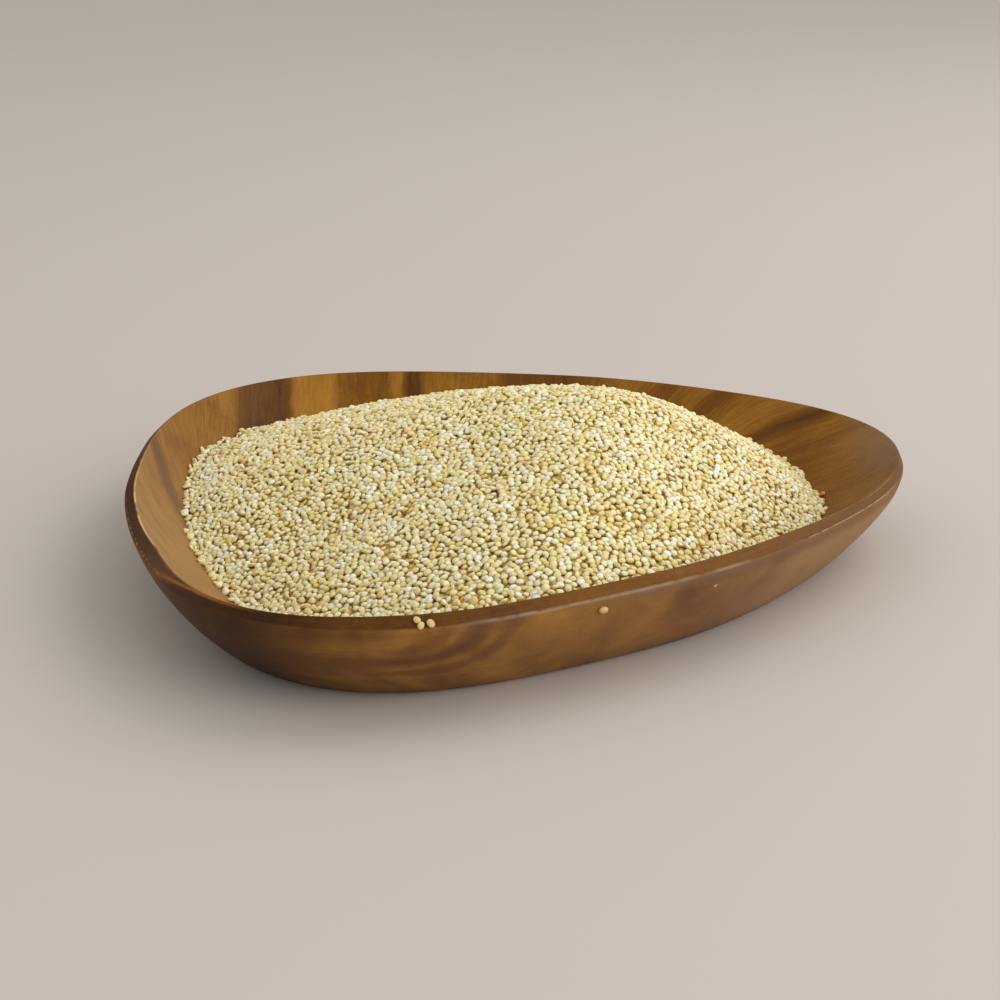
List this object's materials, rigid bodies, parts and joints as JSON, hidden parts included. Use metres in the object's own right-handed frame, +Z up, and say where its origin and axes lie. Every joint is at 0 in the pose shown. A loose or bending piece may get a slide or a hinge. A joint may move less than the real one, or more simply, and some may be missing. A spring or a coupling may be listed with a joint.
{
  "type": "dish of quinoa",
  "caption": "Shallow three-cornered wooden dish with a sloping lip, holding a low off-centre heap of loose pale quinoa.",
  "frame": {"origin": "middle of the flat foot, on the surface the dish stands on", "axes": "+Z up; +X towards the pointed corner of the dish, where the most of the hollow shows beside the heap; +Y 90 degrees to the left of +X seen from above"},
  "size_m": [0.2438, 0.2504, 0.0477],
  "materials": {
    "acacia_wood": "oiled satin, golden to dark brown figure, worn pale along the lip's outer edge",
    "quinoa_grain": "dry loose grains, cream to straw yellow, faint sheen"
  },
  "bodies": {
    "root": {"dish": "acacia_wood", "quinoa": "quinoa_grain"}
  },
  "joints": []
}
